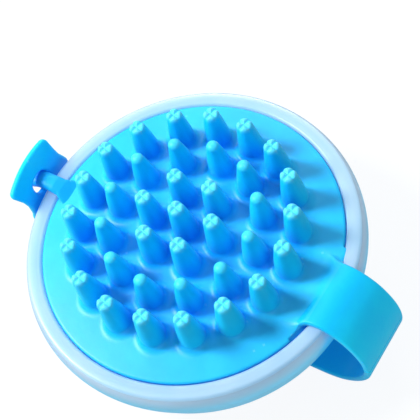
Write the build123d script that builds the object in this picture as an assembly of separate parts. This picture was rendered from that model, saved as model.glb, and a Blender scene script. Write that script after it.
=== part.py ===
from build123d import *
import math
import os

# Palm-held scalp massager brush.
# A soft brush pad with three rings of bristles round a centre one sits in a rigid bezel
# ring, closed at the back by a palm shell. A soft hand strap leaves the pad on +X, loops
# down round the bezel, crosses behind the palm shell and comes up on -X, where the hole in
# its end tab buttons over a lug on the pad.
#
# Frame: millimetres, +Z is the way the bristles point. The origin is on the resting face,
# under the centre of the pad, and the strap runs along X. Every height below is measured
# from TOP_Z, so heights towards the palm are negative.

os.makedirs("parts", exist_ok=True)

# ---------------------------------------------------------------- driving dimensions
TOP_Z = 31.0            # bezel's inner top edge above the resting face

BEZEL_OPEN_R = 41.2     # bezel opening
BEZEL_BULGE_R = 46.5    # widest radius of the bezel
BEZEL_DEPTH = 14.0
BEZEL_FOOT_R = 43.75    # bore at the back of the bezel
GROOVE_R = 44.9         # groove in the bore that takes the shell's clips
GROOVE_TOP = -8.0
GROOVE_BOTTOM = -9.8

PAD_R = 40.6
PAD_SKIRT = 3.9         # depth of the pad's side
PAD_CROWN = 1.6         # rise of the pad's centre over its edge
PAD_T = 2.4             # membrane thickness

SUPPORT_R = 38.1        # plate under the membrane
SUPPORT_BOTTOM = -6.25

STRAP_Y = -1.6          # centre line of the strap and lug
STRAP_W = 17.8
STRAP_T = 1.8
TAB_W = 19.6            # flared end of the end tab


# ---------------------------------------------------------------- helpers
def save(shape, name):
    """Writes one piece's STEP file."""
    shape.label = name
    export_step(shape, f"parts/{name}.step")


def place(x, y, height):
    """Location with its height measured from TOP_Z."""
    return Pos(x, y, TOP_Z + height)


def at(radius, height):
    """Point of a profile in the XZ plane."""
    return (radius, 0, TOP_Z + height)


def lines(*points):
    """Straight edges through (radius, height) points."""
    return [Line(at(*a), at(*b)) for a, b in zip(points, points[1:])]


def arc(start, middle, end):
    """Arc through three (radius, height) points."""
    return ThreePointArc(at(*start), at(*middle), at(*end))


def dome(start_r, end_r, height, drop=0.0):
    """Curve along height(r) - drop that is level where it meets the axis."""
    rim_r = max(start_r, end_r)
    slope = (height(rim_r) - height(rim_r - 0.01)) / 0.01
    radii = [start_r + (end_r - start_r) * k / 4 for k in range(5)]
    if start_r < end_r:
        tangents = [(1, 0, 0), (1, 0, slope)]
    else:
        tangents = [(-1, 0, -slope), (-1, 0, 0)]
    return Spline(*[at(r, height(r) - drop) for r in radii], tangents=tangents)


def turned(edges):
    """Solid of revolution about Z from a closed list of profile edges."""
    return revolve(make_face(Wire(edges)), Axis.Z, 360)


def pad_top(radius):
    """Height of the pad's upper surface."""
    share = min(1.0, radius / PAD_R)
    return PAD_CROWN * (1 - share * share)


# ---------------------------------------------------------------- bezel ring
def make_bezel():
    bore_r = 44.35              # bore above the groove
    step_r = BEZEL_OPEN_R + 1.3
    back_edge = (44.4, -BEZEL_DEPTH)
    bulge = (BEZEL_BULGE_R, -6.2)
    outer_edge = (45.2, -0.25)
    crest = (44.2, 0.25)
    inner_edge = (BEZEL_OPEN_R + 0.6, 0.1)
    return turned([
        *lines((BEZEL_OPEN_R, -0.5), (BEZEL_OPEN_R, -3.2), (step_r, -3.2), (step_r, -2.0),
               (43.0, -2.0)),
        arc((43.0, -2.0), (44.0, -2.6), (bore_r, -3.8)),
        *lines((bore_r, -3.8), (bore_r, GROOVE_TOP), (GROOVE_R, GROOVE_TOP),
               (GROOVE_R, GROOVE_BOTTOM), (BEZEL_FOOT_R, -10.6),
               (BEZEL_FOOT_R, -BEZEL_DEPTH), back_edge),
        arc(back_edge, (46.02, -10.4), bulge),
        arc(bulge, (46.27, -2.5), outer_edge),
        arc(outer_edge, (44.75, 0.1), crest),
        arc(crest, (43.0, 0.3), inner_edge),
        arc(inner_edge, (BEZEL_OPEN_R + 0.15, -0.1), (BEZEL_OPEN_R, -0.5)),
    ])


# ---------------------------------------------------------------- palm shell
SHELL_R = BEZEL_FOOT_R - 0.1
SHELL_WALL_R = 41.9             # outside of the upright wall
SHELL_BORE_R = 40.3             # inside of the upright wall
LEDGE_R = 38.6                  # inner edge of the ledge on top of the wall
LEDGE_TOP = -PAD_SKIRT - 0.03   # just under the pad's skirt
LEDGE_T = 1.4
PALM_R = 39.0                   # dished part of the palm face
PALM_CENTRE = -12.5
PALM_DISH = 1.4
FLOOR_CENTRE = -10.7            # inside face of the shell
FLOOR_FALL = 0.9                # drop of the inside face from centre to wall
CLIP_COUNT = 6
RIB_COUNT = 8


def palm_height(radius):
    return PALM_CENTRE - PALM_DISH * (radius / PALM_R) ** 2


def floor_height(radius):
    return FLOOR_CENTRE - FLOOR_FALL * (radius / SHELL_BORE_R) ** 2


def make_clip():
    """Short wedge on +X that snaps into the bezel's groove."""
    root_r = 41.6
    tip_r = GROOVE_R - 0.15
    bottom = GROOVE_BOTTOM + 0.05
    clip_ring = turned(lines((root_r, bottom), (tip_r, bottom), (tip_r, -9.2),
                             (root_r, -6.6), (root_r, bottom)))
    return clip_ring & (place(43, 0, -8) * Box(6, 8, 8))


def make_shell():
    wall_foot = FLOOR_CENTRE - FLOOR_FALL
    ledge_bottom = LEDGE_TOP - LEDGE_T
    palm_rim = (PALM_R, PALM_CENTRE - PALM_DISH)
    back_edge = (42.6, -BEZEL_DEPTH + 0.05)
    shell = turned([
        dome(0, PALM_R, palm_height),
        arc(palm_rim, (41.0, -BEZEL_DEPTH), back_edge),
        arc(back_edge, (43.4, -13.6), (SHELL_R, -12.8)),
        *lines((SHELL_R, -12.8), (SHELL_R, wall_foot), (SHELL_WALL_R, wall_foot),
               (SHELL_WALL_R, LEDGE_TOP), (LEDGE_R, LEDGE_TOP), (LEDGE_R, ledge_bottom),
               (SHELL_BORE_R, ledge_bottom), (SHELL_BORE_R, wall_foot)),
        dome(SHELL_BORE_R, 0, floor_height),
        *lines((0, FLOOR_CENTRE), (0, PALM_CENTRE)),
    ])
    clip = make_clip()
    for k in range(CLIP_COUNT):
        shell += Rot(0, 0, 30 + 360 / CLIP_COUNT * k) * clip
    # radial ribs that carry the support plate
    rib = place(24.5, 0, -9.0) * Box(27, 1.4, 5.4)
    for k in range(RIB_COUNT):
        shell += Rot(0, 0, 22.5 + 360 / RIB_COUNT * k) * rib
    return shell


# ---------------------------------------------------------------- support plate
def make_support():
    """Stiff disc that backs the membrane and lies on the shell's ribs."""
    top_drop = PAD_T + 0.08         # from the pad's surface to the plate's top
    bottom_drop = top_drop + 2.0
    rim_bore_r = SUPPORT_R - 1.2
    centre_top = pad_top(0) - top_drop
    edge_top = pad_top(SUPPORT_R) - top_drop
    plate = turned([
        *lines((0, centre_top), (0, centre_top - 2.0)),
        dome(0, rim_bore_r, pad_top, bottom_drop),
        *lines((rim_bore_r, pad_top(rim_bore_r) - bottom_drop),
               (rim_bore_r, SUPPORT_BOTTOM), (SUPPORT_R, SUPPORT_BOTTOM),
               (SUPPORT_R, edge_top)),
        dome(SUPPORT_R, 0, pad_top, top_drop),
    ])

    # hollow hub, open underneath
    hub_top = centre_top - 1.0
    hub_height = hub_top - SUPPORT_BOTTOM
    hub_middle = (SUPPORT_BOTTOM + hub_top) / 2
    hub = place(0, 0, hub_middle) * Cylinder(6.0, hub_height)
    hub -= place(0, 0, hub_middle - 1.0) * Cylinder(4.4, hub_height)

    # ring wall on the underside
    web_top = -2.2
    web_ring = place(0, 0, (SUPPORT_BOTTOM + web_top) / 2) * (
        Cylinder(24.0, web_top - SUPPORT_BOTTOM) - Cylinder(22.6, 10)
    )

    # keeps everything under the plate's top surface
    limit_bottom = SUPPORT_BOTTOM - 1
    limit = turned([
        *lines((0, centre_top), (0, limit_bottom), (SUPPORT_R, limit_bottom),
               (SUPPORT_R, edge_top)),
        dome(SUPPORT_R, 0, pad_top, top_drop),
    ])
    return (plate + hub + web_ring) & limit


# ---------------------------------------------------------------- brush pad
def make_pad():
    shoulder_r = PAD_R - 0.9
    bore_r = SUPPORT_R + 0.25
    return turned([
        dome(0, shoulder_r, pad_top),
        arc((shoulder_r, pad_top(shoulder_r)), (PAD_R - 0.25, -0.25), (PAD_R, -0.9)),
        *lines((PAD_R, -0.9), (PAD_R, -PAD_SKIRT), (bore_r, -PAD_SKIRT),
               (bore_r, pad_top(bore_r) - PAD_T)),
        dome(bore_r, 0, pad_top, PAD_T),
        *lines((0, pad_top(0) - PAD_T), (0, pad_top(0))),
    ])


# ---------------------------------------------------------------- bristles
BRISTLE_BASE_R = 3.25
CROWN_END_R = 1.95      # radius near the tip of a crown bristle
ROUND_END_R = 1.25      # radius near the tip of a round bristle
GROOVE_CUT_R = 0.75     # cross grooves in a crown tip
ROOT_DEPTH = 1.5        # how far a bristle starts below the pad's surface
RING_TURN = 2.0         # turn of the bristle circles about Z, degrees
CENTRE_TIP = 15.4       # tip height of the centre bristle


def round_bristle(tip, low, end_r=ROUND_END_R):
    """Turned bullet shape on the Z axis, from height low to a rounded tip."""
    length = tip - low
    base = at(BRISTLE_BASE_R, low)
    shoulder = at(end_r, tip - 0.75 * end_r)
    side = Spline(
        base,
        at(BRISTLE_BASE_R * 0.98, low + length * 0.25),
        at(BRISTLE_BASE_R * 0.86, low + length * 0.52),
        at(BRISTLE_BASE_R * 0.5 + end_r * 0.62, low + length * 0.78),
        shoulder,
    )
    end = Spline(
        shoulder,
        at(end_r * 0.74, tip - 0.28 * end_r),
        at(0, tip),
        tangents=[(-0.25, 0, 1), (-1, 0, 0)],
    )
    return turned([side, end, *lines((0, tip), (0, low), (BRISTLE_BASE_R, low))])


def crown_bristle(tip, low):
    """Bristle whose tip is split by a cross groove into four small points."""
    groove = place(0, 0, tip + 0.35) * Rot(0, 90, 0) * Cylinder(GROOVE_CUT_R, 8)
    return round_bristle(tip, low, CROWN_END_R) - (groove + Rot(0, 0, 90) * groove)


# piece name, circle radius, count, tip height, bristle
BRISTLE_RINGS = [
    ("outer_bristles", 29.4, 18, 13.9, crown_bristle),
    ("middle_bristles", 20.4, 12, 14.3, round_bristle),
    ("inner_bristles", 10.1, 6, 14.8, crown_bristle),
]


def make_bristle_ring(radius, count, tip, make_bristle, pad):
    """Bristles of one circle, cut off at the pad's surface."""
    bristle = make_bristle(tip, pad_top(radius) - ROOT_DEPTH)
    solids = []
    for k in range(count):
        angle = 360 / count * k + RING_TURN
        x = radius * math.cos(math.radians(angle))
        y = radius * math.sin(math.radians(angle))
        placed = Pos(x, y, 0) * (Rot(0, 0, angle) * bristle)
        solids += (placed - pad).solids()
    return Compound(solids)


def make_centre_bristle(pad):
    bristle = crown_bristle(CENTRE_TIP, pad_top(0) - ROOT_DEPTH)
    return Compound((bristle - pad).solids())


# ---------------------------------------------------------------- hand strap
HALF_T = STRAP_T / 2
SOCKET_R = HALF_T * 1.11    # socket round the next piece's rounded edge
FLAT = -(TOP_Z - HALF_T)    # centre line height where the strap lies flat

# Centre line of the strap from the pad round to the tab's free end: x, height
CENTRE_LINE = [
    (36.6, -0.3), (39.0, 0.80), (41.0, 1.40), (43.9, 1.45), (46.8, 0.15), (49.3, -2.4),
    (51.9, -6.6), (53.8, -11.6), (54.6, -16.6), (54.0, -21.4), (51.6, -25.8), (47.6, -28.9),
    (42.6, FLAT), (34.0, FLAT), (17.0, FLAT), (0.0, FLAT), (-17.0, FLAT), (-34.0, FLAT),
    (-41.6, FLAT + 0.25), (-46.4, -27.8), (-49.5, -24.3), (-50.75, -19.6), (-50.4, -14.0),
    (-49.2, -8.0), (-48.0, -3.2), (-47.6, 0.4), (-48.0, 3.4), (-49.0, 6.0), (-50.1, 8.2),
]
# indexes in CENTRE_LINE of the flex lines between the strap's pieces
LOOP_START = 5
BAND_START = 10
TAB_START = 21
TAB_END = len(CENTRE_LINE) - 1

# One half of the tab's outline seen along X: distance from STRAP_Y, height
TAB_HALF_OUTLINE = [
    (8.9, -24.0), (8.9, -9.0), (8.6, -3.0), (8.5, 0.8), (8.9, 3.4), (TAB_W / 2, 6.2),
    (9.6, 7.3), (8.8, 8.0), (6.5, 9.0),
]


def is_flat(i):
    return CENTRE_LINE[i][1] == FLAT


def direction(i):
    """Unit x and z of the centre line's direction at a point."""
    if is_flat(i):
        return -1.0, 0.0
    x0, z0 = CENTRE_LINE[max(0, i - 1)]
    x1, z1 = CENTRE_LINE[min(TAB_END, i + 1)]
    length = math.hypot(x1 - x0, z1 - z0)
    return (x1 - x0) / length, (z1 - z0) / length


def face_point(i, sign):
    """Point on one face of the strap, half the thickness off the centre line."""
    x, height = CENTRE_LINE[i]
    dir_x, dir_z = direction(i)
    return at(x - sign * dir_z * HALF_T, height + sign * dir_x * HALF_T)


def runs(start, end):
    """Splits a stretch of the centre line into curved and flat runs."""
    flat = [i for i in range(start, end + 1) if is_flat(i)]
    if not flat:
        return [(start, end)]
    return [(start, flat[0]), (flat[0], flat[-1]), (flat[-1], end)]


def cross_cylinder(i, radius, length):
    """Cylinder along Y on a point of the centre line."""
    x, height = CENTRE_LINE[i]
    return place(x, 0, height) * Rot(90, 0, 0) * Cylinder(radius, length)


def strap_piece(start, end, width=STRAP_W):
    """Strap between two points of the centre line. At a flex line its rounded start edge
    sits in the socket at the end of the piece before it."""
    edges = []
    for first, last in runs(start, end):
        for sign in (1, -1):
            points = [face_point(i, sign) for i in range(first, last + 1)]
            if is_flat(first) and is_flat(last):
                edges.append(Line(points[0], points[-1]))
            else:
                tangents = [(x, 0, z) for x, z in (direction(first), direction(last))]
                edges.append(Spline(*points, tangents=tangents))
    for i in (start, end):
        edges.append(Line(face_point(i, 1), face_point(i, -1)))
    face = make_face(Wire.combine(edges)[0])
    solid = extrude(face, width / 2, dir=(0, 1, 0), both=True)
    if start > 0:
        solid += cross_cylinder(start, HALF_T, width)
    if end < TAB_END:
        solid -= cross_cylinder(end, SOCKET_R, width + 2)
    return Pos(0, STRAP_Y, 0) * solid


def make_root(pad):
    """Piece that lies on the pad's rim and carries the strap over the bezel."""
    root = strap_piece(0, LOOP_START)
    foot = place(38.3, STRAP_Y, -0.5) * Box(3.4, STRAP_W, 1.6)
    foot &= place(0, 0, 0) * Cylinder(BEZEL_OPEN_R - 0.25, 10)
    return (root + foot) - pad


def make_tab():
    """End tab with a slight waist, a flared rounded end and the buttonhole."""
    tab = strap_piece(TAB_START, TAB_END, TAB_W)
    points = [(0, y, TOP_Z + height) for y, height in TAB_HALF_OUTLINE]
    points += [(0, -y, z) for _, y, z in reversed(points)]
    outline_face = make_face(Polyline(*points, close=True))
    outline = Pos(-60, STRAP_Y, 0) * extrude(outline_face, 20, dir=(1, 0, 0))
    hole = place(-48.2, STRAP_Y, 1.5) * Box(6, 7.2, 6.2)
    hole = fillet(hole.edges().filter_by(Axis.X), 2.6)
    return (tab & outline) - hole


# ---------------------------------------------------------------- strap lug
def make_lug(pad):
    """Lug on the pad's -X rim that the tab's hole buttons over."""
    neck_w = 5.4
    axis_height = 2.05
    neck = place(-43.75, STRAP_Y, axis_height) * Box(14.0, neck_w, 3.2)
    neck = fillet(neck.edges().filter_by(Axis.X), 1.4)
    foot = place(-38.4, STRAP_Y, 0.9) * Box(3.8, neck_w, 3.0)
    head = place(-51.2, STRAP_Y, axis_height) * Box(3.2, 6.4, 3.9)
    head = fillet(head.edges(), 1.2)
    return ((neck + foot) - pad) + head


# ---------------------------------------------------------------- build
save(make_bezel(), "bezel_ring")
save(make_shell(), "palm_shell")
save(make_support(), "support_plate")
brush_pad = make_pad()
save(brush_pad, "brush_pad")
for name, *ring in BRISTLE_RINGS:
    save(make_bristle_ring(*ring, brush_pad), name)
save(make_centre_bristle(brush_pad), "centre_bristle")
save(make_root(brush_pad), "strap_root")
save(strap_piece(LOOP_START, BAND_START), "strap_loop")
save(strap_piece(BAND_START, TAB_START), "palm_strap")
save(make_tab(), "end_tab")
save(make_lug(brush_pad), "strap_lug")
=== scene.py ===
"""A round palm brush: a domed silicone pad with four circles of bristles, held in a
frosted bezel, and a silicone strap that loops under the shell and buttons on a lug.

The bristles point up +Z and the brush's axis is the Z axis. The strap leaves the pad on
the +X side, runs under the brush towards -X and rises to its buttonhole tab there.
Sizes are in mm unless said otherwise, with z = 0 near the bezel's top edge.
"""
import math

import bpy
import numpy as np
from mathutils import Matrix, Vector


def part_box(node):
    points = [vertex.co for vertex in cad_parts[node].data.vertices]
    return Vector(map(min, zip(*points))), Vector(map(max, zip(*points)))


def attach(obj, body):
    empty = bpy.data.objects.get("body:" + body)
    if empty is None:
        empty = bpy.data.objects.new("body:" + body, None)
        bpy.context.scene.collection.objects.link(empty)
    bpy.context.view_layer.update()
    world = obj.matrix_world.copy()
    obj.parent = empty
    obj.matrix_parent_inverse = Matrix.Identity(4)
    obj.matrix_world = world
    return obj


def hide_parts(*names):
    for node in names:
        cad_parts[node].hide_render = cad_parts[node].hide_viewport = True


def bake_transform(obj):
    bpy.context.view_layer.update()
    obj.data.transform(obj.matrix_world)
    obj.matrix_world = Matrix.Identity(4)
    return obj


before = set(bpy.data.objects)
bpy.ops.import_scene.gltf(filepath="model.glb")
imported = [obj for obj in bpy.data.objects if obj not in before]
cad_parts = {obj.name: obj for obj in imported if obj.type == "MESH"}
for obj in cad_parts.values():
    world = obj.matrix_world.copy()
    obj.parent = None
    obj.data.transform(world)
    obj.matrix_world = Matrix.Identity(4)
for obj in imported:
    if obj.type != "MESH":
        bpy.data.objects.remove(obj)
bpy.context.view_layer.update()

import openvdb
from mathutils import Matrix, Vector

# ------------------------------------------------------------------ driving sizes
MM = 0.001                       # metres in a millimetre
RING_DEPTH = 14.0                # from z = 0 down to the bezel's underside
Z0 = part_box("bezel_ring")[0].z * 1000 + RING_DEPTH   # world height of z = 0
BORE_R = 41.2                    # bezel opening

PAD_R, PAD_DOME = 40.6, 1.6      # radius and rise of the domed top
PAD_THICK, PAD_SKIRT = 2.4, 3.9  # membrane, and depth of the skirt's lower edge

strap_lo, strap_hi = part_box("strap_loop")
STRAP_Y = (strap_lo.y + strap_hi.y) * 500            # middle of the strap, from metres
STRAP_HALF_W = (strap_hi.y - strap_lo.y) * 500
STRAP_HALF_T = 0.95              # half thickness
ROOT_TURN, END_TURN = 4.0, -6.0  # how far the strap is turned about Z, degrees


def by_quality(full):
    return full


def pad_top(r):
    """Height of the pad's top at radius r."""
    return PAD_DOME * (1 - np.minimum(1.0, np.asarray(r, float) / PAD_R) ** 2)


def smoothstep(t):
    t = np.clip(t, 0, 1)
    return t * t * (3 - 2 * t)


# ------------------------------------------------------------------ mesh helpers
def add_object(name, data):
    obj = bpy.data.objects.new(name, data)
    bpy.context.scene.collection.objects.link(obj)
    return obj


def make_piece(name, verts, faces, material, stands_for, body=None):
    """A smooth-shaded piece from points in mm, standing for the named CAD pieces."""
    verts = np.array(verts, float) * MM
    verts[:, 2] += Z0 * MM
    mesh = bpy.data.meshes.new(name)
    mesh.from_pydata(verts.tolist(), [], [tuple(int(i) for i in face) for face in faces])
    mesh.validate()
    mesh.update()
    obj = add_object(name, mesh)
    mesh.polygons.foreach_set("use_smooth", [True] * len(mesh.polygons))
    mesh.materials.append(material)
    if body:
        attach(obj, body)
    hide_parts(*stands_for)
    return obj


def point_attribute(obj, name, values):
    attribute = obj.data.attributes.new(name, "FLOAT", "POINT")
    attribute.data.foreach_set("value", values.astype(np.float32))


def wall_faces(rings, per_ring, closed=False):
    """Quads between successive rings of points; closed joins the last ring to the first."""
    faces = []
    for i in range(rings if closed else rings - 1):
        here, there = i * per_ring, (i + 1) % rings * per_ring
        for k in range(per_ring):
            k2 = (k + 1) % per_ring
            faces.append((here + k, here + k2, there + k2, there + k))
    return faces


def arc(start, through, end, steps):
    """steps+1 points on the circle through three points, from start to end."""
    (x0, y0), (x1, y1), (x2, y2) = start, through, end
    sq0, sq1, sq2 = x0**2 + y0**2, x1**2 + y1**2, x2**2 + y2**2
    det = 2 * (x0 * (y1 - y2) + x1 * (y2 - y0) + x2 * (y0 - y1))
    x = (sq0 * (y1 - y2) + sq1 * (y2 - y0) + sq2 * (y0 - y1)) / det
    y = (sq0 * (x2 - x1) + sq1 * (x0 - x2) + sq2 * (x1 - x0)) / det
    radius = math.hypot(x0 - x, y0 - y)
    first = math.atan2(y0 - y, x0 - x)
    to_middle = (math.atan2(y1 - y, x1 - x) - first) % (2 * math.pi)
    sweep = (math.atan2(y2 - y, x2 - x) - first) % (2 * math.pi)
    if to_middle > sweep:
        sweep -= 2 * math.pi
    angles = [first + sweep * k / steps for k in range(steps + 1)]
    return [(x + radius * math.cos(a), y + radius * math.sin(a)) for a in angles]


def arc_chain(start, arcs):
    """Points along joined arcs, each given as (through, end, steps)."""
    points = [start]
    for through, end, steps in arcs:
        points += arc(start, through, end, steps)[1:]
        start = end
    return points


def lathe(outline, segments):
    """Closed outline of (r, z) turned about Z."""
    angles = [2 * math.pi * k / segments for k in range(segments)]
    verts = [(r * math.cos(a), r * math.sin(a), z) for r, z in outline for a in angles]
    return verts, wall_faces(len(outline), segments, closed=True)


# ------------------------------------------------------------------ shader helpers
def add_node(tree, kind, inputs=None, **settings):
    """A shader node; each input is given a value or linked from a socket."""
    node = tree.nodes.new("ShaderNode" + kind)
    for key, value in settings.items():
        setattr(node, key, value)
    for key, value in (inputs or {}).items():
        if isinstance(value, bpy.types.NodeSocket):
            tree.links.new(value, node.inputs[key])
        else:
            node.inputs[key].default_value = value
    return node


def new_material(name):
    material = bpy.data.materials.new(name)
    material.use_nodes = True
    tree = material.node_tree
    tree.nodes.clear()
    return material, tree, add_node(tree, "OutputMaterial")


def object_coords(tree, offset=None):
    coords = add_node(tree, "TexCoord").outputs["Object"]
    if offset is None:
        return coords
    return add_node(tree, "Mapping", {"Vector": coords, "Location": offset}).outputs[0]


def noise(tree, vector, scale, detail=2, roughness=0.5):
    return add_node(tree, "TexNoise", {
        "Vector": vector, "Scale": scale, "Detail": detail, "Roughness": roughness}).outputs[0]


def ramp(tree, factor, stops):
    """Colour ramp from (position, colour) stops."""
    node = add_node(tree, "ValToRGB", {0: factor})
    elements = node.color_ramp.elements
    while len(elements) < len(stops):
        elements.new(0.5)
    for element, (position, colour) in zip(elements, stops):
        element.position = position
        element.color = (*colour, 1)
    return node.outputs[0]


def map_range(tree, value, from_min=0.0, from_max=1.0, to_min=0.0, to_max=1.0, **settings):
    return add_node(tree, "MapRange", {
        "Value": value, "From Min": from_min, "From Max": from_max,
        "To Min": to_min, "To Max": to_max}, **settings).outputs[0]


def mix_colour(tree, factor, first, second):
    # sockets 6 and 7 are the colour pair of the Mix node, output 2 its colour
    return add_node(tree, "Mix", {0: factor, 6: first, 7: second}, data_type="RGBA").outputs[2]


def bump(tree, height, strength, distance, normal=None):
    inputs = {"Height": height, "Strength": strength, "Distance": distance}
    if normal:
        inputs["Normal"] = normal
    return add_node(tree, "Bump", inputs).outputs[0]


def attribute(tree, name):
    return add_node(tree, "Attribute", attribute_name=name).outputs["Fac"]


def seen_or_not(tree, lighting, seen):
    """One value for the camera's own rays and another for the light thrown on the brush."""
    camera_ray = add_node(tree, "LightPath").outputs["Is Camera Ray"]
    return map_range(tree, camera_ray, to_min=lighting, to_max=seen)


# ------------------------------------------------------------------ materials
def silicone(name, seed, deep, base, light, tint=(0.45, 0.88, 1.0), glow=0.0,
             reach=0.008, open_above=0.66):
    """Satin silicone: mottled colour, fine mould texture, light scattered under the skin.

    reach is how far the painted shade of hollows is felt, in metres; skin more open than
    open_above gets no painted shade. glow is the light carried along inside a thin strap.
    """
    material, tree, output = new_material(name)
    coords = object_coords(tree, offset=(seed, seed * 0.7, 0))
    mottle = noise(tree, coords, scale=55, detail=4, roughness=0.55)
    skin = ramp(tree, mottle, [(0.28, deep), (0.52, base), (0.86, light)])
    # thin edges let more light through, so they turn paler
    pointiness = add_node(tree, "NewGeometry").outputs["Pointiness"]
    edges = map_range(tree, pointiness, from_min=0.52, from_max=0.66)
    edges = add_node(tree, "Math", {0: edges, 1: 0.55}, operation="MULTIPLY").outputs[0]
    skin = mix_colour(tree, edges, skin, (0.16, 0.66, 1.0, 1))
    # painted shade: the hollows between the bristles, where shade falls, are painted a deeper blue
    openness = add_node(tree, "AmbientOcclusion", {"Distance": reach}, samples=6).outputs["AO"]
    hollow = map_range(tree, openness, from_min=open_above, from_max=0.20, to_max=0.90)
    skin = mix_colour(tree, hollow, skin, (0.001, 0.20, 0.78, 1))
    emission = {}
    if glow:
        # the strap's root takes the pad's colour and loses its glow
        root = attribute(tree, "root")
        skin = mix_colour(tree, root, skin, (0.004, 0.50, 0.93, 1))
        fade = add_node(tree, "Math", {0: root, 1: -glow, 2: glow}, operation="MULTIPLY_ADD")
        emission = {"Emission Color": skin, "Emission Strength": fade.outputs[0]}
    # painted highlight: the tips are painted paler where light catches them
    colour = mix_colour(tree, attribute(tree, "tip"), skin, (0.26, 0.80, 1.0, 1))
    grain = bump(tree, noise(tree, coords, scale=2600, detail=3),
                 strength=0.10, distance=0.00008)
    surface = bump(tree, noise(tree, coords, scale=320),
                   strength=0.12, distance=0.0003, normal=grain)
    shader = add_node(tree, "BsdfPrincipled", {
        "Base Color": colour,
        "Roughness": map_range(tree, mottle, to_min=0.34, to_max=0.50),
        "Normal": surface,
        "Subsurface Weight": 0.22,
        "Subsurface Radius": (0.25, 0.7, 1.0),
        "Subsurface Scale": 0.0014,
        "IOR": 1.42,
        "Specular Tint": (*tint, 1),
        "Sheen Weight": 0.06,
        "Sheen Roughness": 0.4,
        "Sheen Tint": (0.6, 0.9, 1.0, 1),
        **emission,
    })
    tree.links.new(shader.outputs[0], output.inputs[0])
    return material


def frosted(name, seed, base, transmission, roughness, side=None, span=None):
    """Frosted translucent plastic: clouded skin with light going through.

    side is a bluer colour painted on the wall below, standing in for its shade and the blue
    silicone seen through it; span is the heights, in metres, over which it gives way to the base
    colour.
    """
    material, tree, output = new_material(name)
    coords = object_coords(tree, offset=(seed, 0, seed))
    cloud = noise(tree, coords, scale=70, detail=5)
    red, green, blue = base
    colour = ramp(tree, cloud, [(0.30, (red * 0.86, green * 0.95, blue)), (0.70, base)])
    emission = {}
    if side:
        position = add_node(tree, "TexCoord").outputs["Object"]
        height = add_node(tree, "SeparateXYZ", {"Vector": position}).outputs[2]
        rise = map_range(tree, height, from_min=span[0], from_max=span[1],
                         interpolation_type="SMOOTHSTEP")
        colour = mix_colour(tree, rise, (*side, 1), colour)
        # painted cyan glow, its strength falling from 0.30 on the side to 0.02 on the top
        fade = add_node(tree, "Math", {0: rise, 1: -0.28, 2: 0.30}, operation="MULTIPLY_ADD")
        emission = {"Emission Color": (0.04, 0.72, 1.0, 1),
                    "Emission Strength": fade.outputs[0]}
    shader = add_node(tree, "BsdfPrincipled", {
        "Base Color": colour,
        "Roughness": map_range(tree, cloud, to_min=roughness - 0.07, to_max=roughness + 0.09),
        "Normal": bump(tree, noise(tree, coords, scale=900, detail=3),
                       strength=0.10, distance=0.0001),
        "Transmission Weight": transmission,
        "IOR": 1.40,
        "Coat Weight": 0.25,
        "Coat Roughness": 0.18,
        **emission,
    })
    through = add_node(tree, "BsdfTranslucent", {"Color": colour})
    through_share = 0.28
    blend = add_node(tree, "MixShader", {
        0: through_share, 1: shader.outputs[0], 2: through.outputs[0]})
    tree.links.new(blend.outputs[0], output.inputs[0])
    return material


def moulded(name, base, roughness):
    """Plain moulded plastic with a fine grain."""
    material, tree, output = new_material(name)
    coords = object_coords(tree)
    cloud = noise(tree, coords, scale=90, detail=4)
    shader = add_node(tree, "BsdfPrincipled", {
        "Base Color": ramp(tree, cloud, [(0.3, tuple(c * 0.8 for c in base)), (0.7, base)]),
        "Normal": bump(tree, noise(tree, coords, scale=1800), strength=0.2, distance=0.0001),
        "Roughness": roughness,
    })
    tree.links.new(shader.outputs[0], output.inputs[0])
    return material


PAD_SILICONE = silicone(
    "pad_silicone", seed=0.1, deep=(0.002, 0.44, 0.90), base=(0.004, 0.50, 0.93),
    light=(0.02, 0.57, 0.98), tint=(0.95, 0.98, 1.0))
BRISTLE_SILICONE = silicone(
    "bristle_silicone", seed=0.37, deep=(0.0015, 0.53, 0.93), base=(0.002, 0.60, 0.96),
    light=(0.012, 0.67, 1.0))
# the strap's painted shade of hollows is felt over 30 mm, so the inside of its loop is painted
# darker
STRAP_SILICONE = silicone(
    "strap_silicone", seed=0.61, deep=(0.003, 0.58, 0.95), base=(0.004, 0.66, 0.97),
    light=(0.03, 0.74, 1.0), glow=0.17, reach=0.030, open_above=0.92)
# the lug is the strap's silicone painted darker, as painted shade on its neck
SHADED_LUG_SILICONE = silicone(
    "lug_silicone", seed=0.83, deep=(0.002, 0.34, 0.85), base=(0.003, 0.40, 0.88),
    light=(0.01, 0.50, 0.96))
# the bezel's wall is painted bluer below, as painted shade and see-through blue, with a painted
# cyan glow
BEZEL_PLASTIC = frosted(
    "frosted_bezel", seed=0.2, base=(0.70, 0.87, 0.98), transmission=0.36, roughness=0.36,
    side=(0.20, 0.70, 0.90), span=((Z0 - 5.0) * MM, (Z0 - 0.3) * MM))
SHELL_PLASTIC = frosted(
    "frosted_shell", seed=0.5, base=(0.62, 0.86, 1.0), transmission=0.6, roughness=0.4)
CARRIER_PLASTIC = moulded("carrier_plastic", base=(0.05, 0.35, 0.80), roughness=0.5)

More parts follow.
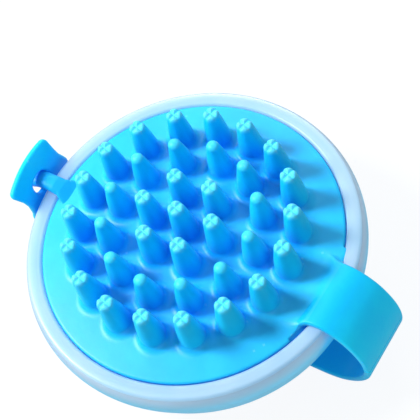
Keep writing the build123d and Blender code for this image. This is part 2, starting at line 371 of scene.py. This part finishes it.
# ------------------------------------------------------------------ bezel ring
# (r, z) points; arcs are (through, end, steps)
BEZEL_OUTSIDE = [(BORE_R, -3.2)] + arc_chain((BORE_R, -0.9), [
    ((BORE_R + 0.28, -0.10), (BORE_R + 1.0, 0.22), 8),
    ((43.5, 0.50), (44.5, 0.48), 8),
    ((45.15, 0.22), (45.55, -0.45), 8),
    ((46.25, -2.6), (46.4, -5.0), 12),
    ((46.0, -7.4), (45.25, -9.4), 10),
    ((44.7, -11.2), (44.25, -13.0), 8),
    ((44.15, -13.6), (43.95, -RING_DEPTH), 4),
])
LIP_BACK_R = BORE_R + 1.3        # hidden face of the lip that drops into the bore
BEZEL_INSIDE = [
    (43.75, -RING_DEPTH), (43.75, -10.6), (44.9, -9.8), (44.9, -8.0), (44.35, -8.0),
    *arc_chain((44.35, -3.8), [((44.0, -2.6), (43.0, -2.0), 6)]),
    (LIP_BACK_R, -2.0), (LIP_BACK_R, -3.2),
]
ring_verts, ring_faces = lathe(BEZEL_OUTSIDE + BEZEL_INSIDE, segments=288)
make_piece("bezel_ring_frosted", ring_verts, ring_faces, BEZEL_PLASTIC, ["bezel_ring"],
           body="body_shell")

# the palm shell and the support plate keep their CAD shape
for node_name, material in (("palm_shell", SHELL_PLASTIC), ("support_plate", CARRIER_PLASTIC)):
    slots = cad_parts[node_name].data.materials
    slots.clear()
    slots.append(material)

# ------------------------------------------------------------------ bristles
# CAD piece, circle radius, count, height of the tips, crowned (cross-grooved end)
CIRCLES = [
    ("outer_bristles", 29.4, 18, 13.9, True),
    ("middle_bristles", 20.4, 12, 14.15, False),
    ("inner_bristles", 10.1, 6, 14.7, True),
    ("centre_bristle", 0.0, 1, 15.4, True),
]
CIRCLE_TURN = 2.0 if abs(STRAP_Y) > 0.5 else 0.0    # degrees
# part of the height, radius
CROWN_PROFILE = [
    (0.0, 3.52), (0.12, 3.48), (0.30, 3.32), (0.50, 3.02), (0.70, 2.60), (0.86, 2.27), (1.0, 2.06)]
ROUND_PROFILE = [
    (0.0, 3.48), (0.12, 3.42), (0.30, 3.20), (0.50, 2.82), (0.70, 2.30), (0.86, 1.84), (1.0, 1.50)]
BRISTLE_SEGMENTS = by_quality(48)
BODY_RINGS = by_quality(15)
CAP_RINGS = by_quality(10)
BRISTLE_SINK = 1.0               # how far the foot is buried in the pad
CROWN_CAP = 1.10                 # height of a crowned end
NOTCH, NOTCH_W = 0.26, 0.42      # depth and width of the notches in the side
NOTCH_RUN = 1.3                  # length over which they fade in below the cap
GROOVE, GROOVE_W = 0.55, 0.50    # depth and width of the cross on the end
DISH = 0.12                      # extra hollow in the middle of the end
GROOVE_TURN = math.radians(-16.0)
LEAN = 0.22                      # greatest sideways stray of a tip
STRETCH = 0.006                  # greatest stray in height, as a part of it


def bristle_radius(t, crowned):
    """Radius at part t of the height, the profile's corners smoothed by averaging."""
    parts, radii = zip(*(CROWN_PROFILE if crowned else ROUND_PROFILE))
    t = np.asarray(t, float)
    return sum(np.interp(np.clip(t + shift, 0, 1), parts, radii) * 0.2
               for shift in (-0.08, -0.04, 0, 0.04, 0.08))


def cross(x, y, width):
    """1 on the two crossing groove lines, falling to 0 away from them."""
    return np.exp(-(np.minimum(abs(x), abs(y)) / width) ** 2)


def bristle(height, crowned):
    """One bristle standing at the origin, its foot sunk below z = 0."""
    count = BRISTLE_SEGMENTS
    angles = 2 * np.pi * np.arange(count) / count
    cos, sin = np.cos(angles), np.sin(angles)
    cap = CROWN_CAP if crowned else float(bristle_radius(1.0, crowned)) * 0.92
    body = height - cap
    rings = []

    def add_ring(radius, z):
        rings.append(np.column_stack([radius * cos, radius * sin, np.full(count, z)]))

    for z in [-BRISTLE_SINK, *np.linspace(0, body, BODY_RINGS)]:
        radius = float(bristle_radius(max(0.0, z) / height, crowned))
        notch = 0.0
        if crowned:
            depth = NOTCH * smoothstep((z - (body - NOTCH_RUN)) / NOTCH_RUN)
            notch = depth * cross(radius * cos, radius * sin, NOTCH_W)
        add_ring(radius - notch, z)
    end_radius = float(bristle_radius(body / height, crowned))
    for k in range(1, CAP_RINGS):
        if crowned:
            radius = end_radius * (1 - k / CAP_RINGS) ** 0.85
            x, y = radius * cos, radius * sin
            part = radius / end_radius
            rise = math.sqrt(1 - part ** 3.2)
            groove = GROOVE * cross(x, y, GROOVE_W) * min(1, 1.1 * rise)
            add_ring(radius - NOTCH * cross(x, y, NOTCH_W) * part ** 3,
                     body + cap * rise - groove - DISH * (1 - part))
        else:
            slope = math.pi / 2 * k / CAP_RINGS
            add_ring(end_radius * math.cos(slope) ** 0.92, body + cap * math.sin(slope))
    apex_z = body + cap - GROOVE - DISH if crowned else body + cap
    verts = np.vstack(rings + [[(0, 0, apex_z), (0, 0, -BRISTLE_SINK)]])
    faces = wall_faces(len(rings), count)
    last = (len(rings) - 1) * count
    apex, foot = len(verts) - 2, len(verts) - 1
    for k in range(count):
        k2 = (k + 1) % count
        faces += [(last + k, last + k2, apex), (k2, k, foot)]
    return verts, faces


feet = []                        # x, y, z of the foot, height, crowned
rng = np.random.default_rng(7)
for node_name, circle_radius, count, tip, crowned in CIRCLES:
    foot_z = float(pad_top(circle_radius))
    height = tip - foot_z
    shape, shape_faces = bristle(height, crowned)
    # the crown grooves lie in the same directions on every bristle
    turn_cos, turn_sin = math.cos(GROOVE_TURN), math.sin(GROOVE_TURN)
    turned_x = shape[:, 0] * turn_cos - shape[:, 1] * turn_sin
    turned_y = shape[:, 0] * turn_sin + shape[:, 1] * turn_cos
    verts, faces = [], []
    for k in range(count):
        angle = math.radians(360 / count * k + CIRCLE_TURN)
        foot_x, foot_y = circle_radius * math.cos(angle), circle_radius * math.sin(angle)
        feet.append((foot_x, foot_y, foot_z, height, crowned))
        # moulded rubber is never quite even
        stray = rng.uniform(-1, 1, 3)
        z = shape[:, 2] * (1 + STRETCH * stray[2])
        lean = np.clip(z / height, 0, 1) ** 2
        x = turned_x + foot_x + LEAN * stray[0] * lean
        y = turned_y + foot_y + LEAN * stray[1] * lean
        faces += [tuple(i + k * len(shape) for i in face) for face in shape_faces]
        verts.append(np.column_stack([x, y, z + foot_z]))
    verts = np.vstack(verts)
    bristles = make_piece(node_name + "_moulded", verts, faces, BRISTLE_SILICONE,
                          [node_name], body="pad")
    # painted highlight on the tips, growing over the 1.5 mm that starts 1.7 mm below the tip
    tip_highlight = np.clip((verts[:, 2] - (tip - 1.7)) / 1.5, 0, 1) ** 1.5
    point_attribute(bristles, "tip", tip_highlight * (0.42 if crowned else 0.20))

# ------------------------------------------------------------------ strap path
PALM_Z = -30.1                   # middle of the strap under the brush
# (x, z) of the strap's middle, from the pad's edge round to the end of the tab
CENTRE_LINE = [
    (34.6, -1.5), (36.8, -0.75), (38.8, 0.25), (40.7, 1.35), (42.8, 1.75), (45.0, 1.50),
    (47.4, 0.35), (49.9, -1.6), (52.3, -4.7), (54.4, -9.0), (55.3, -13.6), (54.9, -17.8),
    (53.1, -22.2), (50.2, -26.0), (46.4, -28.9), (41.6, PALM_Z), (34.0, PALM_Z),
    (17.0, PALM_Z), (0.0, PALM_Z), (-17.0, PALM_Z), (-34.0, PALM_Z),
    (-41.6, -29.85), (-46.4, -27.8), (-49.5, -24.3), (-50.75, -19.6), (-50.4, -14.0),
    (-49.2, -8.0), (-48.0, -3.2), (-47.6, 0.4), (-48.0, 3.4), (-49.1, 6.1), (-50.7, 9.1),
]


def smooth_path(points, per_span=12):
    """Centripetal Catmull-Rom curve through the points, its bends evened out."""
    points = [np.array(p, float) for p in points]
    points = [2 * points[0] - points[1], *points, 2 * points[-1] - points[-2]]

    def between(first, second, start, end, t):
        return (end - t) / (end - start) * first + (t - start) / (end - start) * second

    curve = []
    for p0, p1, p2, p3 in zip(points, points[1:], points[2:], points[3:]):
        t0 = 0.0
        t1 = t0 + np.linalg.norm(p1 - p0) ** 0.5
        t2 = t1 + np.linalg.norm(p2 - p1) ** 0.5
        t3 = t2 + np.linalg.norm(p3 - p2) ** 0.5
        for k in range(per_span):
            t = t1 + (t2 - t1) * k / per_span
            a1 = between(p0, p1, t0, t1, t)
            a2 = between(p1, p2, t1, t2, t)
            a3 = between(p2, p3, t2, t3, t)
            b1 = between(a1, a2, t0, t2, t)
            b2 = between(a2, a3, t1, t3, t)
            curve.append(between(b1, b2, t1, t2, t))
    curve.append(points[-2])
    curve = np.array(curve)
    for _ in range(3):
        curve[1:-1] = 0.5 * curve[1:-1] + 0.25 * (curve[:-2] + curve[2:])
    curve[:, 1] = np.maximum(curve[:, 1], PALM_Z)
    return curve


PATH = smooth_path(CENTRE_LINE)
PATH_S = np.concatenate([[0], np.cumsum(np.linalg.norm(np.diff(PATH, axis=0), axis=1))])
TOTAL = PATH_S[-1]


def path_point(s):
    """(x, z) at length s along the path."""
    return np.array([np.interp(s, PATH_S, PATH[:, 0]), np.interp(s, PATH_S, PATH[:, 1])])


def path_length_at(x, z):
    """Length along the path at its point nearest to (x, z)."""
    return PATH_S[int(np.argmin((PATH[:, 0] - x) ** 2 + (PATH[:, 1] - z) ** 2))]


def path_distance(x, z, start, end, samples):
    """Distance to a stretch of the path, and the length along it of the nearest point."""
    lengths = np.linspace(start, end, samples)
    points = np.array([path_point(s) for s in lengths])
    best = np.full(x.shape, 1e9)
    where = np.zeros(x.shape)
    for i in range(samples - 1):
        origin, span = points[i], points[i + 1] - points[i]
        along = (x - origin[0]) * span[0] + (z - origin[1]) * span[1]
        t = np.clip(along / (span @ span), 0, 1)
        distance = np.hypot(x - origin[0] - t * span[0], z - origin[1] - t * span[1])
        nearer = distance < best
        best = np.where(nearer, distance, best)
        where = np.where(nearer, lengths[i] + t * (lengths[i + 1] - lengths[i]), where)
    return best, where


S_FOLD = path_length_at(55.3, -13.6)      # the loop's furthest reach in +X
S_PALM = path_length_at(-34.0, PALM_Z)    # the -X end of the flat run


def skew(verts, s):
    """Turn and shift the strap, as it is buttoned a little askew; s is given per point."""
    turn = np.radians(np.interp(s, [S_FOLD, TOTAL], [ROOT_TURN, END_TURN]))
    drift = np.interp(s, [0, 6, S_FOLD, TOTAL - 36, TOTAL - 14, TOTAL - 8, TOTAL],
                      [0, 0, -0.85, 0.0, 1.2, 0.2, -0.80])
    across = verts[:, 1] - STRAP_Y
    skewed = verts.copy()
    skewed[:, 0] = verts[:, 0] + across * np.sin(turn)
    skewed[:, 1] = STRAP_Y + across * np.cos(turn) + drift
    return skewed


# ------------------------------------------------------------------ strap bands
END_OVERLAP = 0.9                # each band runs this far past its end into the next
END_SHRINK = 0.03                # and is thinner there
SECTION_CORNER = 0.62


def root_half_width(x):
    """Half width of the strap where it flares into the pad."""
    return STRAP_HALF_W + 1.0 * np.exp(-np.maximum(0.0, x - 38.5) / 1.6)


def section(half_w, half_t, corner, flat_steps=26, corner_steps=6):
    """Rounded rectangle of (across, through) points, counter-clockwise."""
    x, y = half_w - corner, half_t - corner
    corners = [(x, y, 0), (-x, y, 90), (-x, -y, 180), (x, -y, 270)]
    points = []
    for i, (x, y, first) in enumerate(corners):
        for k in range(corner_steps + 1):
            angle = math.radians(first + 90 * k / corner_steps)
            points.append((x + corner * math.cos(angle), y + corner * math.sin(angle)))
        if i % 2 == 0:           # the two wide faces are divided
            next_x, next_y, angle = corners[(i + 1) % 4]
            angle = math.radians(angle)
            end_x = next_x + corner * math.cos(angle)
            end_y = next_y + corner * math.sin(angle)
            x, y = points[-1]
            for k in range(1, flat_steps):
                points.append((x + (end_x - x) * k / flat_steps,
                               y + (end_y - y) * k / flat_steps))
    return points


def strap_band(name, start, end, stands_for, pitch):
    """Strap along the path from start to end, with closed ends."""
    steps = int((end - start) / by_quality(pitch))
    verts, lengths = [], []
    for s in np.linspace(start, end, steps + 1):
        x, z = path_point(s)
        # direction over 0.6 mm to either side
        ahead = path_point(min(TOTAL, s + 0.6)) - path_point(max(0, s - 0.6))
        ahead = ahead / np.linalg.norm(ahead)
        normal = np.array([-ahead[1], ahead[0]])
        half_w = root_half_width(x) if z > -3 else STRAP_HALF_W
        cut = END_SHRINK if end - s < END_OVERLAP - 0.02 else 0.0
        outline = section(half_w - cut, STRAP_HALF_T - cut, SECTION_CORNER)
        for across, through in outline:
            # across runs along -y so the faces point outward
            verts.append((x + normal[0] * through, STRAP_Y - across, z + normal[1] * through))
            lengths.append(s)
    per_ring = len(outline)
    faces = wall_faces(steps + 1, per_ring)
    start_middle, end_middle = len(verts), len(verts) + 1
    for s in (start, end):
        x, z = path_point(s)
        verts.append((x, STRAP_Y, z))
        lengths.append(s)
    last = steps * per_ring
    for k in range(per_ring):
        k2 = (k + 1) % per_ring
        faces += [(k2, k, start_middle), (last + k, last + k2, end_middle)]
    lengths = np.array(lengths)
    strap = make_piece(name, skew(np.array(verts), lengths), faces, STRAP_SILICONE, stands_for)
    # the pad's colour fades out between 8 and 19 mm along the path
    point_attribute(strap, "root", 1 - smoothstep((lengths - 8.0) / 11.0))
    # the buried end faces are flat, so the strap's skin runs on without a crease
    for polygon in strap.data.polygons:
        if start_middle in polygon.vertices or end_middle in polygon.vertices:
            polygon.use_smooth = False
    return strap


loop = strap_band("strap_loop_silicone", 0.0, S_FOLD + END_OVERLAP,
                  ["strap_root", "strap_loop"], pitch=0.5)
palm = strap_band("palm_strap_silicone", S_FOLD, S_PALM + END_OVERLAP,
                  ["palm_strap"], pitch=0.8)
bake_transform(loop)
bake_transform(palm)


# ------------------------------------------------------------------ level-set pieces
# A field is a distance in mm, negative inside the piece.
def grid_axes(low, high, cell):
    return [np.arange(math.floor(a / cell) * cell, b + cell, cell) for a, b in zip(low, high)]


def level_mesh(field, axes, cell):
    """Closed quad mesh where the field is 0."""
    grid = openvdb.FloatGrid(3.0)
    grid.copyFromArray(np.ascontiguousarray(field.astype(np.float32)))
    grid.gridClass = openvdb.GridClass.LEVEL_SET
    points, quads = grid.convertToQuads(isovalue=0.0)
    points = np.array(points, float) * cell + np.array([axis[0] for axis in axes])
    return points, np.array(quads)[:, ::-1]


def smooth_min(a, b, blend):
    """Union of two fields with a fillet."""
    overlap = np.maximum(blend - abs(a - b), 0) / blend
    return np.minimum(a, b) - overlap * overlap * blend * 0.25


def smooth_max(a, b, blend):
    """Common part of two fields with a rounded edge."""
    return -smooth_min(-a, -b, blend)


def rounded_corner(a, b):
    """Distance from a corner's rounding centre, a and b being the overshoots past it."""
    outside = np.hypot(np.maximum(a, 0), np.maximum(b, 0))
    return outside + np.minimum(np.maximum(a, b), 0)


def brush_pad():
    """Membrane with its skirt, a fillet round every bristle and the strap root's flare."""
    cell = by_quality(0.30)
    axes = grid_axes((-43, -43, -6), (43, 43, 7.0), cell)
    axis_x, axis_y, axis_z = axes
    x, y, z = np.meshgrid(*axes, indexing="ij")
    r = np.hypot(x, y)
    top = pad_top(r)
    edge_r = BORE_R - 0.16       # the soft edge fills the bezel's bore
    rounding = 0.6
    body = rounded_corner(r - (edge_r - rounding), (z - top - 0.10) + rounding) - rounding
    body = np.maximum(body, -PAD_SKIRT - z)
    cavity = np.maximum(r - 38.35, z - (top - PAD_THICK))
    pad = np.maximum(body, -cavity)

    reach = 7.5                  # half side of the block worked on round a bristle
    for foot_x, foot_y, foot_z, height, crowned in feet:
        i0, i1 = np.searchsorted(axis_x, [foot_x - reach, foot_x + reach])
        j0, j1 = np.searchsorted(axis_y, [foot_y - reach, foot_y + reach])
        k0 = np.searchsorted(axis_z, foot_z - 1.6)
        block = (slice(i0, i1), slice(j0, j1), slice(k0, None))
        above = z[block] - foot_z
        radius = bristle_radius(np.clip(above, 0, height) / height, crowned) - 0.10
        # 0.985 allows for the taper of the sides
        side = (np.hypot(x[block] - foot_x, y[block] - foot_y) - radius) * 0.985
        stub = np.maximum(side, above - 4.6)
        pad[block] = smooth_min(pad[block], stub, 2.3)

    i0 = np.searchsorted(axis_x, 30.0)
    plane_x, plane_z = np.meshgrid(axis_x[i0:], axis_z, indexing="ij")
    distance, _ = path_distance(plane_x, plane_z, 0.0, path_length_at(43.4, 1.4), samples=60)
    # the flare starts thicker than the strap and slims to lie inside it
    ease = np.clip((plane_x - 39.8) / 2.6, 0, 1)
    through = distance - (STRAP_HALF_T + 0.05 - 0.17 * smoothstep(ease))
    half_w = root_half_width(plane_x) + 0.05 - 0.2 * ease
    across = abs(y[i0:] - STRAP_Y) - half_w[:, None, :]
    flare = smooth_max(through[:, None, :], across, 0.9)
    pad[i0:] = smooth_min(pad[i0:], flare, 1.8)
    pad[i0:] = np.maximum(pad[i0:], x[i0:] - 42.6)
    # keep clear of the bezel's bore below its top edge
    pad = np.maximum(pad, np.minimum(r - (BORE_R - 0.12), -(z - 0.42)))
    points, quads = level_mesh(pad, axes, cell)

    # the root leans with the strap
    x, y, z = points.T
    near = np.clip((x - 36.0) / 3.0, 0, 1) * (abs(y - STRAP_Y) < 14)
    outer = np.clip((np.hypot(x, y) - 39.5) / 1.2, 0, 1) * (z > -1.0)
    points[:, 0] += (y - STRAP_Y) * math.sin(math.radians(ROOT_TURN)) * near * outer
    make_piece("brush_pad_moulded", points, quads, PAD_SILICONE, ["brush_pad"], body="pad")


# height along the rising tab, half width
TAB_WIDTHS = [
    (-30, STRAP_HALF_W), (-12, 9.6), (-6, 10.1), (-2, 9.6),
    (1.0, 9.1), (3.5, 9.2), (6.0, 9.8), (8.4, 10.8),
]


def end_tab():
    """The strap's end on the -X side, with its buttonhole."""
    cell = by_quality(0.28)
    axes = grid_axes((-54, -12 + STRAP_Y, -32.0), (-31.5, 12 + STRAP_Y, 11.0), cell)
    plane_x, plane_z = np.meshgrid(axes[0], axes[2], indexing="ij")
    distance, where = path_distance(plane_x, plane_z, S_PALM, TOTAL, samples=260)
    middle_x, middle_z = path_point(where)
    rising = middle_x < -45
    half_w = np.where(rising, np.interp(middle_z, *zip(*TAB_WIDTHS)), STRAP_HALF_W)
    x, y, _ = np.meshgrid(*axes, indexing="ij")
    across = abs(y - STRAP_Y)
    from_end = (TOTAL - where)[:, None, :]
    # rounded at the two outer corners and a little bowed at the end
    corner = 2.0
    bow = 1.3 * (across / 9.5) ** 2
    outline = rounded_corner(across - (half_w[:, None, :] - corner),
                             corner - (from_end - bow)) - corner
    tab = smooth_max(distance[:, None, :] - STRAP_HALF_T, outline, 1.1)
    # buttonhole: a superellipse with half axes 3.35 across and 2.9 along
    hole_from_end = TOTAL - path_length_at(-47.75, 1.6)
    hole_x = (y - STRAP_Y + 1.05) / 3.35
    hole_y = (from_end - hole_from_end) / 2.9
    power = 2.6
    hole = ((np.abs(hole_x) ** power + np.abs(hole_y) ** power) ** (1 / power) - 1) * 3.1
    no_hole = 9.0                # a distance safely outside the hole
    tab = smooth_max(tab, -np.where(rising[:, None, :], hole, no_hole), 0.8)
    # start face, a little inside the palm strap's end
    tab = np.maximum(tab, x + 33.6)
    points, quads = level_mesh(tab, axes, cell)
    _, lengths = path_distance(points[:, 0], points[:, 2], S_PALM - 2, TOTAL, samples=260)
    tab_piece = make_piece("end_tab_silicone", skew(points, lengths), quads, STRAP_SILICONE,
                           ["end_tab"])
    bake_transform(tab_piece)


# (x, z) of the lug's middle
LUG_LINE = [
    (-52.2, 1.0), (-50.0, 1.55), (-47.7, 1.85), (-45.0, 2.05),
    (-42.4, 1.75), (-40.2, 0.95), (-38.4, -0.1), (-36.6, -1.1),
]
# x, half width, half thickness
LUG_STATIONS = [
    (-53.5, 1.2, 0.5), (-52.3, 2.6, 1.4), (-50.8, 3.1, 1.9), (-49.6, 2.9, 1.8),
    (-47.5, 2.5, 1.5), (-44, 2.45, 1.5), (-41, 2.6, 1.35), (-38, 4.2, 0.95),
]


def strap_lug():
    """A tongue from the pad's edge that widens into a bulb outside the tab."""
    cell = by_quality(0.2)
    axes = grid_axes((-54.5, -5 + STRAP_Y, -4), (-36, 5 + STRAP_Y, 6), cell)
    x, y, z = np.meshgrid(*axes, indexing="ij")
    middle_z = np.interp(x, *zip(*LUG_LINE))
    stations, half_widths, half_thicknesses = zip(*LUG_STATIONS)
    half_w = np.interp(x, stations, half_widths)
    half_t = np.interp(x, stations, half_thicknesses)
    power = 2.5
    across = abs((y - STRAP_Y) / half_w) ** power
    through = abs((z - middle_z) / half_t) ** power
    lug = ((across + through) ** (1 / power) - 1) * np.minimum(half_w, half_t)
    lug = smooth_max(lug, -52.9 - x, 1.2)
    lug = np.maximum(lug, x + 37.0)
    points, quads = level_mesh(lug, axes, cell)
    piece = make_piece("strap_lug_silicone", points, quads, SHADED_LUG_SILICONE, ["strap_lug"],
                       body="pad")
    # painted highlight on the top of the bulb
    outward = np.clip((-48.6 - points[:, 0]) / 2.2, 0, 1)
    upward = np.clip((points[:, 2] - 1.0) / 1.8, 0, 1)
    point_attribute(piece, "tip", 0.7 * (outward * upward))


brush_pad()
end_tab()
strap_lug()

# ------------------------------------------------------------------ camera
AZIMUTH = math.radians(50.1928)  # about Z, from -Y towards +X
ELEVATION, ROLL = 1.0166540885, -0.4275202826        # radians
VIEW_DISTANCE = 263.5795
SHIFT_RIGHT, SHIFT_UP = -5.41714, -6.52543           # of the brush in the view

view_back = np.array([math.sin(AZIMUTH) * math.cos(ELEVATION),
                      -math.cos(AZIMUTH) * math.cos(ELEVATION), math.sin(ELEVATION)])
level_right = np.array([math.cos(AZIMUTH), math.sin(AZIMUTH), 0.0])
level_up = np.cross(view_back, level_right)
view_right = math.cos(ROLL) * level_right + math.sin(ROLL) * level_up
view_up = -math.sin(ROLL) * level_right + math.cos(ROLL) * level_up
eye = (-SHIFT_RIGHT * view_right - SHIFT_UP * view_up + VIEW_DISTANCE * view_back
       + np.array([0, 0, Z0]))

camera_data = bpy.data.cameras.new("camera")
camera_data.sensor_width = 36.0
camera_data.lens = 85.7142857
camera_data.clip_start = 0.01
camera = add_object("camera", camera_data)
pose = np.column_stack([view_right, view_up, view_back, eye * MM]).tolist()
camera.matrix_world = Matrix(pose + [[0, 0, 0, 1]])
bpy.context.scene.camera = camera

# ------------------------------------------------------------------ floor and light
SEEN_WHITE = 1.04                # brightness of floor and far wall to the camera


def floor_paint():
    """Paper that looks white to the camera without lighting the brush from below."""
    material, tree, output = new_material("floor_paint")
    paint = add_node(tree, "BsdfPrincipled", {
        "Base Color": (0.93, 0.945, 0.96, 1), "Roughness": 0.8})
    glow = add_node(tree, "Emission", {
        "Color": (0.97, 0.985, 1.0, 1),
        "Strength": seen_or_not(tree, lighting=0.38, seen=SEEN_WHITE)})
    glow_share = 0.90
    blend = add_node(tree, "MixShader", {0: glow_share, 1: paint.outputs[0], 2: glow.outputs[0]})
    tree.links.new(blend.outputs[0], output.inputs[0])
    return material


# in metres
FLOOR_HALF, FLOOR_Z = 3, -0.0004
floor_mesh = bpy.data.meshes.new("floor")
floor_corners = [(-1, -1), (1, -1), (1, 1), (-1, 1)]
floor_mesh.from_pydata([(x * FLOOR_HALF, y * FLOOR_HALF, FLOOR_Z) for x, y in floor_corners],
                       [], [(0, 1, 2, 3)])
floor_mesh.materials.append(floor_paint())
floor = add_object("floor", floor_mesh)

world = bpy.data.worlds.new("studio")
bpy.context.scene.world = world
world.use_nodes = True
background = world.node_tree.nodes["Background"]
background.inputs["Color"].default_value = (0.93, 0.97, 1.0, 1)
world.node_tree.links.new(seen_or_not(world.node_tree, lighting=0.44, seen=SEEN_WHITE),
                          background.inputs["Strength"])


def softbox(name, right, up, back, distance, size, power):
    """Disk lamp aimed at the brush, its direction given along the camera's axes.

    Distance and size are in metres, power in watts.
    """
    direction = right * view_right + up * view_up + back * view_back
    direction /= np.linalg.norm(direction)
    lamp = bpy.data.lights.new(name, "AREA")
    lamp.shape = "DISK"
    lamp.size = size
    lamp.energy = power
    obj = add_object(name, lamp)
    target = Vector((0, 0, Z0 * MM))
    obj.location = target + Vector(direction) * distance
    obj.rotation_euler = (target - obj.location).to_track_quat("-Z", "Y").to_euler()


softbox("key", right=-0.80, up=0.38, back=0.48, distance=0.9, size=0.30, power=10.2)
softbox("back_sheen", right=-0.15, up=0.95, back=0.10, distance=1.0, size=0.6, power=3.0)
softbox("front_fill", right=0.35, up=-0.75, back=0.55, distance=1.0, size=0.7, power=1.2)

view = bpy.context.scene.view_settings
view.view_transform = "Standard"
view.look = "None"
view.exposure = 0.0
